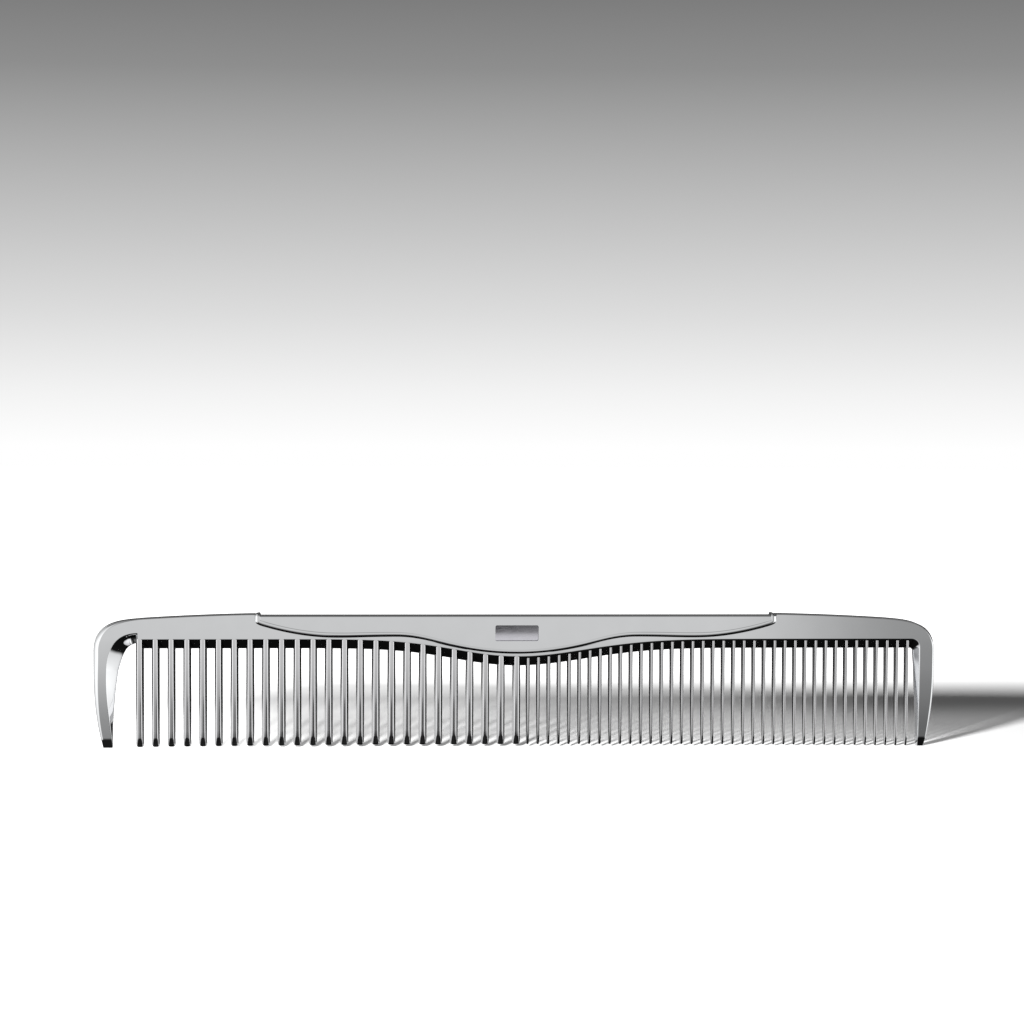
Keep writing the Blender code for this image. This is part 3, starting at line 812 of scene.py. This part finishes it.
def step_node(tree, value, low, high):
    """0 below low, 1 above high, smooth between."""
    node = tree.nodes.new("ShaderNodeMapRange")
    node.interpolation_type = "SMOOTHSTEP"
    node.inputs["From Min"].default_value = low
    node.inputs["From Max"].default_value = high
    tree.links.new(value, node.inputs["Value"])
    return node.outputs["Result"]


def ramp_node(tree, value, low, high, stops):
    """Grey levels at given places between low and high."""
    reach = tree.nodes.new("ShaderNodeMapRange")
    reach.inputs["From Min"].default_value = low
    reach.inputs["From Max"].default_value = high
    tree.links.new(value, reach.inputs["Value"])
    ramp = tree.nodes.new("ShaderNodeValToRGB")
    elements = ramp.color_ramp.elements
    while len(elements) < len(stops):
        elements.new(0.5)
    for element, (place, level) in zip(elements, stops):
        element.position = (place - low) / (high - low)
        element.color = (level, level, level, 1.0)
    tree.links.new(reach.outputs["Result"], ramp.inputs["Fac"])
    return ramp.outputs["Color"]


def band(tree, value, low, high, soft):
    """1 between low and high, 0 outside, with soft ends."""
    rise = step_node(tree, value, low - soft, low + soft)
    fall = step_node(tree, value, high - soft, high + soft)
    return math_node(tree, "SUBTRACT", rise, fall, clamp=True)


def lay_card(tree, base, mask, level):
    """Mixes a level over the base where the mask is 1."""
    mix = tree.nodes.new("ShaderNodeMix")
    tree.links.new(mask, mix.inputs["Factor"])
    tree.links.new(base, mix.inputs["A"])
    if isinstance(level, (int, float)):
        mix.inputs["B"].default_value = level
    else:
        tree.links.new(level, mix.inputs["B"])
    return mix.outputs["Result"]


def direction_nodes(tree):
    """Bearing from the front (-180 to 180, right positive) and elevation, in degrees."""
    place = tree.nodes.new("ShaderNodeTexCoord")
    unit = tree.nodes.new("ShaderNodeVectorMath")
    unit.operation = "NORMALIZE"
    tree.links.new(place.outputs["Object"], unit.inputs[0])
    split = tree.nodes.new("ShaderNodeSeparateXYZ")
    tree.links.new(unit.outputs["Vector"], split.inputs["Vector"])
    forward = math_node(tree, "MULTIPLY", split.outputs["Y"], -1.0)
    bearing = math_node(tree, "ARCTAN2", split.outputs["X"], forward)
    height = math_node(tree, "ARCSINE", split.outputs["Z"])
    to_degrees = 180.0 / math.pi
    return (math_node(tree, "MULTIPLY", bearing, to_degrees),
            math_node(tree, "MULTIPLY", height, to_degrees))


def reflection_material():
    """What the polished steel sees: soft white sides, a grey front that darkens
    downwards, dark above, below and behind."""
    material, tree = shader_tree("reflected_studio")
    bearing, height = direction_nodes(tree)
    aside = math_node(tree, "ABSOLUTE", bearing)

    level = ramp_node(tree, height, -90.0, 90.0, ROOM_LEVELS)
    front = ramp_node(tree, height, -60.0, 60.0, FRONT_LEVELS)
    dimmed = math_node(tree, "MULTIPLY", step_node(tree, bearing, *FRONT_FADE), -FRONT_LOSS)
    front = math_node(tree, "MULTIPLY", front, math_node(tree, "ADD", dimmed, 1.0))
    level = lay_card(tree, level, band(tree, bearing, -FRONT_REACH, FRONT_REACH, 3.0), front)

    sides = ramp_node(tree, height, -60.0, 60.0, SIDE_LEVELS)
    dimmed = math_node(tree, "MULTIPLY", step_node(tree, aside, *SIDES_FADE), -SIDES_LOSS)
    sides = math_node(tree, "MULTIPLY", sides, math_node(tree, "ADD", dimmed, 1.0))
    for near, far, top in SIDES:
        white = math_node(tree, "MULTIPLY", band(tree, bearing, near, far, 5.0),
                          band(tree, height, SIDES_FOOT, top, 3.0))
        level = lay_card(tree, level, white, sides)
    for near, far, foot, top in REAR_SIDES:
        side = math_node(tree, "MULTIPLY", band(tree, bearing, near, far, 3.0),
                         band(tree, height, foot, top, 3.0))
        level = lay_card(tree, level, side, REAR_SIDES_LEVEL)

    near, far, foot, top = DARK_LINE
    line = math_node(tree, "MULTIPLY", band(tree, bearing, near, far, 0.4),
                     band(tree, height, foot, top, 0.5))
    level = lay_card(tree, level, line, DARK_LINE_LEVEL)

    behind = math_node(tree, "MULTIPLY", step_node(tree, aside, *BEHIND),
                       band(tree, height, *BEHIND_SPAN, 1.5))
    level = lay_card(tree, level, behind, BEHIND_LEVEL)

    light = tree.nodes.new("ShaderNodeEmission")
    tree.links.new(level, light.inputs["Color"])
    out = tree.nodes.new("ShaderNodeOutputMaterial")
    tree.links.new(light.outputs["Emission"], out.inputs["Surface"])
    material.cycles.emission_sampling = "NONE"
    return material


def backdrop_material():
    """A sweep that glows by itself, painted light: white at the floor, greyer with height."""
    material, tree = shader_tree("studio_sweep")
    place = tree.nodes.new("ShaderNodeTexCoord")
    split = tree.nodes.new("ShaderNodeSeparateXYZ")
    tree.links.new(place.outputs["Object"], split.inputs["Vector"])
    level = ramp_node(tree, split.outputs["Z"], 0.0, SWEEP_TOP, SWEEP_LEVELS)
    light = tree.nodes.new("ShaderNodeEmission")
    tree.links.new(level, light.inputs["Color"])
    out = tree.nodes.new("ShaderNodeOutputMaterial")
    tree.links.new(light.outputs["Emission"], out.inputs["Surface"])
    material.cycles.emission_sampling = "NONE"
    return material


def floor_material():
    """A white floor with painted light: it glows, except where the comb's shadow falls, where
    fainter painted light lifts the shade near and left of the comb.
    """
    material = bpy.data.materials.new("white_floor")
    material.use_nodes = True
    tree = material.node_tree
    shader = tree.nodes["Principled BSDF"]
    shader.inputs["Roughness"].default_value = 0.9
    shader.inputs["Specular IOR Level"].default_value = 0.0
    noise = tree.nodes.new("ShaderNodeTexNoise")
    noise.inputs["Scale"].default_value = 40.0
    level = ramp_node(tree, noise.outputs["Fac"], 0.0, 1.0, [(0.3, 0.84), (0.7, 0.86)])
    tree.links.new(level, shader.inputs["Base Color"])

    place = tree.nodes.new("ShaderNodeTexCoord")
    split = tree.nodes.new("ShaderNodeSeparateXYZ")
    tree.links.new(place.outputs["Object"], split.inputs["Vector"])
    x, y = split.outputs["X"], split.outputs["Y"]
    # Painted light: the floor's glow, masked off where the comb's shadow falls
    across = math_node(tree, "MULTIPLY", step_node(tree, x, *SHADE_LEFT),
                       step_node(tree, x, *SHADE_RIGHT))
    shade = math_node(tree, "MULTIPLY", across, band(tree, y, *SHADE_SPAN, SHADE_SOFT))
    near = math_node(tree, "MULTIPLY", step_node(tree, y, *NEAR_BACK),
                     step_node(tree, x, *NEAR_LEFT))
    left = ramp_node(tree, x, *LEFT_SPAN, [(LEFT_SPAN[0], LEFT_PAINTED_GLOW), (LEFT_SPAN[1], 0.0)])
    grown = math_node(tree, "MULTIPLY", step_node(tree, y, *LEFT_FULL), 1.0 - LEFT_START)
    left = math_node(tree, "MULTIPLY", left, math_node(tree, "ADD", grown, LEFT_START))
    # Fainter painted light inside the shadow area, near and left of the comb
    painted_fill = math_node(tree, "ADD", math_node(tree, "MULTIPLY", near, NEAR_PAINTED_GLOW), left)
    painted_glow = math_node(tree, "MAXIMUM", math_node(tree, "SUBTRACT", 1.0, shade), painted_fill)
    shader.inputs["Emission Color"].default_value = (1.0, 1.0, 1.0, 1.0)
    tree.links.new(math_node(tree, "MULTIPLY", painted_glow, PAINTED_FLOOR_GLOW), shader.inputs["Emission Strength"])
    material.cycles.emission_sampling = "NONE"
    return material


def build_stage():
    """The floor, a sweep that only the camera sees, and a shell that only the steel
    reflects."""
    bm = bmesh.new()
    bmesh.ops.create_circle(bm, cap_ends=True, segments=96, radius=FLOOR_RADIUS)
    floor = stage_object("floor", bm, floor_material())
    floor.visible_glossy = False

    bm = bmesh.new()
    rim = 128
    levels = 24
    turns = [2 * math.pi * i / rim for i in range(rim)]
    loops = []
    for level in range(levels + 1):
        z = BACKDROP_HEIGHT * level / levels
        loops.append([bm.verts.new((BACKDROP_RADIUS * math.cos(turn),
                                    BACKDROP_RADIUS * math.sin(turn), z))
                      for turn in turns])
    for lower, upper in zip(loops, loops[1:]):
        for i in range(rim):
            bm.faces.new((lower[i], upper[i], upper[(i + 1) % rim], lower[(i + 1) % rim]))
    backdrop = stage_object("backdrop", bm, backdrop_material())

    bm = bmesh.new()
    bmesh.ops.create_uvsphere(bm, u_segments=96, v_segments=48, radius=DOME_RADIUS)
    dome = stage_object("reflected_dome", bm, reflection_material())
    for obj in (backdrop, dome):
        obj.visible_diffuse = False
        obj.visible_shadow = False
        obj.visible_transmission = False
    backdrop.visible_glossy = False
    dome.visible_camera = False


def add_area_light(name, place, target, width, height, watts):
    """An area light whose brightness does not fall with distance."""
    light = bpy.data.lights.new(name, "AREA")
    light.shape = "RECTANGLE"
    light.size = width
    light.size_y = height
    light.energy = watts
    light.use_nodes = True
    tree = light.node_tree
    even = tree.nodes.new("ShaderNodeLightFalloff")
    even.inputs["Strength"].default_value = 1.0
    tree.links.new(even.outputs["Constant"], tree.nodes["Emission"].inputs["Strength"])
    obj = bpy.data.objects.new(name, light)
    obj.location = place
    direction = Vector(target) - Vector(place)
    obj.rotation_euler = direction.to_track_quat("-Z", "Y").to_euler()
    obj.visible_camera = False
    obj.visible_glossy = False
    bpy.context.scene.collection.objects.link(obj)


def build_lights():
    add_area_light("key", KEY_PLACE, KEY_AIM, *KEY_SIZE, KEY_WATTS)
    world = bpy.data.worlds.new("studio_air")
    world.use_nodes = True
    air = world.node_tree.nodes["Background"]
    air.inputs["Color"].default_value = (1.0, 1.0, 1.0, 1.0)
    air.inputs["Strength"].default_value = AIR_LEVEL
    bpy.context.scene.world = world


# Camera: a long lens, slightly left of the middle and a little above the comb
LENS = 105.5
CAMERA_DISTANCE = 0.6766
CAMERA_HEIGHT = 0.0827
CAMERA_YAW = math.radians(3.2)
CAMERA_PITCH = math.radians(2.5)
CAMERA_ROLL = math.radians(0.22)
CAMERA_SIDE = 0.0011


def build_camera():
    data = bpy.data.cameras.new("camera")
    data.lens = LENS
    data.sensor_width = 36.0
    camera = bpy.data.objects.new("camera", data)
    bpy.context.scene.collection.objects.link(camera)
    sine, cosine = math.sin(CAMERA_YAW), math.cos(CAMERA_YAW)
    camera.location = (-sine * CAMERA_DISTANCE - cosine * CAMERA_SIDE,
                       -cosine * CAMERA_DISTANCE + sine * CAMERA_SIDE, CAMERA_HEIGHT)
    aim = Matrix.Rotation(-CAMERA_YAW, 4, "Z") @ Matrix.Rotation(
        math.pi / 2 - CAMERA_PITCH, 4, "X") @ Matrix.Rotation(CAMERA_ROLL, 4, "Z")
    camera.rotation_euler = aim.to_euler()
    bpy.context.scene.camera = camera


# ---------------------------------------------------------------- assembly

def place(piece, slot, *nodes):
    """Fixes a piece to the comb's one body and hides the imported parts it stands in for."""
    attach(piece, "root")
    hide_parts(*nodes)


def main():
    body_steel = steel("body_steel", (0.84, 0.85, 0.86), 0.035, 260.0, (300.0, 3000.0, 2400.0))
    cover_steel = steel("cover_steel", (0.84, 0.85, 0.86), 0.035, 220.0,
                        (260.0, 3000.0, 2200.0))
    tooth_steel = steel("tooth_steel", (0.83, 0.83, 0.84), 0.05, 400.0,
                        (3600.0, 3600.0, 240.0))
    plate_steel = steel("plate_steel", (0.90, 0.89, 0.95), 0.12, 500.0,
                        (500.0, 4000.0, 4000.0))
    place(build_frame(body_steel), "frame_steel", "spine_frame")
    place(build_saddle(cover_steel), "saddle_steel", "saddle_cover")
    place(build_plate("name_plate", plate_steel), "plate_metal", "name_plate")
    for number in range(1, COARSE_COUNT + 1):
        node = f"coarse_tooth_{number:02d}"
        place(build_coarse_tooth(node, tooth_steel), "tooth_steel", node)
    for number in range(1, FINE_COUNT // 2 + 1):
        node = f"fine_tooth_pair_{number:02d}"
        place(build_fine_pair(node, tooth_steel), "tooth_steel", node)
    build_stage()
    build_lights()
    build_camera()
    bpy.context.scene.view_settings.view_transform = "Standard"


main()
